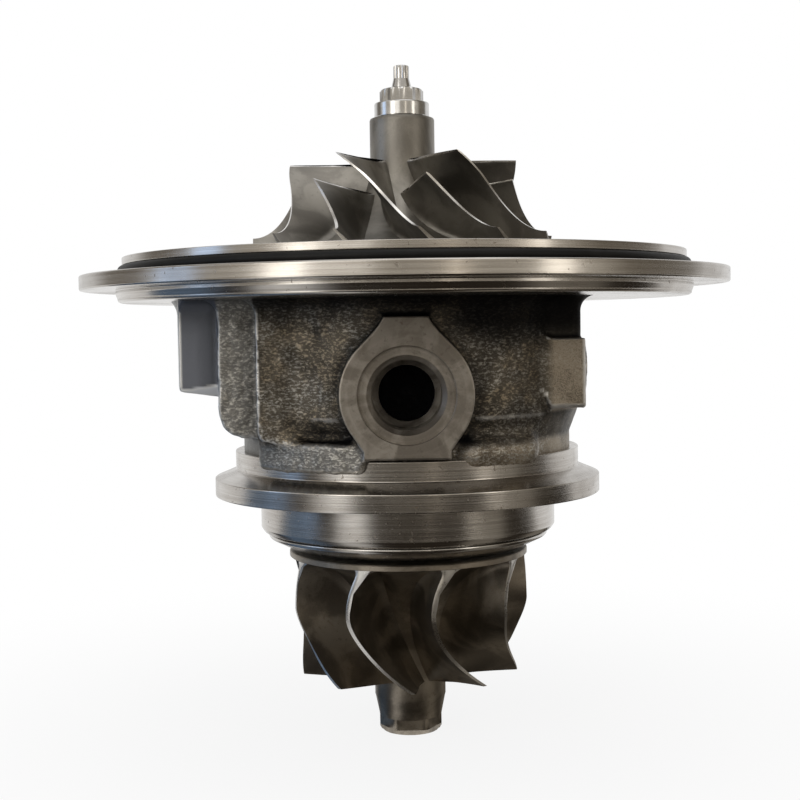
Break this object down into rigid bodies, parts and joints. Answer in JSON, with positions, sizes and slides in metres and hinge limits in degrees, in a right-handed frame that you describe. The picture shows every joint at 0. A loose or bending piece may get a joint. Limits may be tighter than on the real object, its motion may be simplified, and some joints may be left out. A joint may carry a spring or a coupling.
{
  "type": "turbo cartridge",
  "caption": "Turbocharger centre cartridge: cast bearing housing with compressor flange and clamp rim, turning shaft with bladed compressor and turbine wheels.",
  "frame": {"origin": "on the shaft axis, at the face of the clamp rim that seats on the turbine housing", "axes": "+Z along the shaft towards the compressor wheel; -Y is the front coolant port; +X is the oil feed, -X the oil drain"},
  "size_m": [0.1354, 0.1354, 0.1418],
  "materials": {
    "cast_housing": "sand-cast iron with turned flanges",
    "seal_rubber": "matte",
    "machined_steel": "turned",
    "polished_steel": "ground and polished",
    "bearing_bronze": "turned",
    "shield_sheet": "pressed bright sheet",
    "wheel_alloy": "as cast, machined edges",
    "turbine_alloy": "as cast, ground edges"
  },
  "bodies": {
    "housing": {"bearing_housing": "cast_housing", "cover_o_ring": "seal_rubber", "seal_plate": "machined_steel", "seal_plate_o_ring": "seal_rubber", "seal_plate_circlip": "machined_steel", "oil_deflector": "machined_steel", "thrust_bearing": "bearing_bronze", "thrust_pins": "machined_steel", "heat_shield": "shield_sheet", "compressor_seal_ring": "machined_steel", "turbine_seal_ring": "machined_steel", "bush_retaining_rings": "machined_steel"},
    "compressor_bush": {"compressor_journal_bush": "bearing_bronze"},
    "turbine_bush": {"turbine_journal_bush": "bearing_bronze"},
    "rotor": {"rotor_shaft": "polished_steel", "thrust_collar": "polished_steel", "flinger_sleeve": "polished_steel", "compressor_wheel": "wheel_alloy", "compressor_nut": "polished_steel", "turbine_wheel": "turbine_alloy"}
  },
  "joints": [
    {"name": "rotor_spin", "type": "hinge", "parent": "housing", "child": "rotor", "pos_m": [0, 0, 0], "axis": [0, 0, 1], "continuous": true},
    {"name": "compressor_bush_spin", "type": "hinge", "parent": "housing", "child": "compressor_bush", "pos_m": [0, 0, 0.027], "axis": [0, 0, 1], "continuous": true},
    {"name": "turbine_bush_spin", "type": "hinge", "parent": "housing", "child": "turbine_bush", "pos_m": [0, 0, 0.0085], "axis": [0, 0, 1], "continuous": true}
  ]
}
